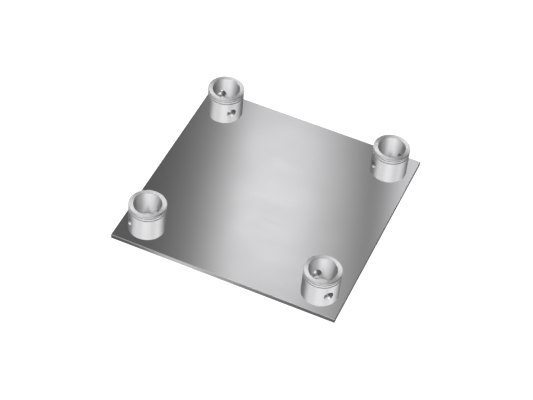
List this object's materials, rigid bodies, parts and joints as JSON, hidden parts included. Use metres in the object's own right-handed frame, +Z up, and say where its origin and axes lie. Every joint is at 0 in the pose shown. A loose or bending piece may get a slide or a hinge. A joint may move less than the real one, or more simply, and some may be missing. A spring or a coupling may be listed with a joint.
{
  "type": "truss base plate",
  "caption": "Square flat base plate with conical half couplers at its corners, cross-drilled for pins, for standing or fixing a square box truss.",
  "frame": {"origin": "centre of the plate's underside", "axes": "+Z up, out of the plate's top face and the sockets' mouths; +X and +Y along the plate's sides, with -Y the front"},
  "size_m": [0.308, 0.308, 0.0484],
  "materials": {
    "plate": "satin, rolled",
    "coupler": "fine turned",
    "screw": "zinc plated"
  },
  "bodies": {
    "root": {"base_plate": "plate", "coupler_front_left": "coupler", "coupler_front_right": "coupler", "coupler_rear_right": "coupler", "coupler_rear_left": "coupler", "coupler_screws": "screw"}
  },
  "joints": []
}
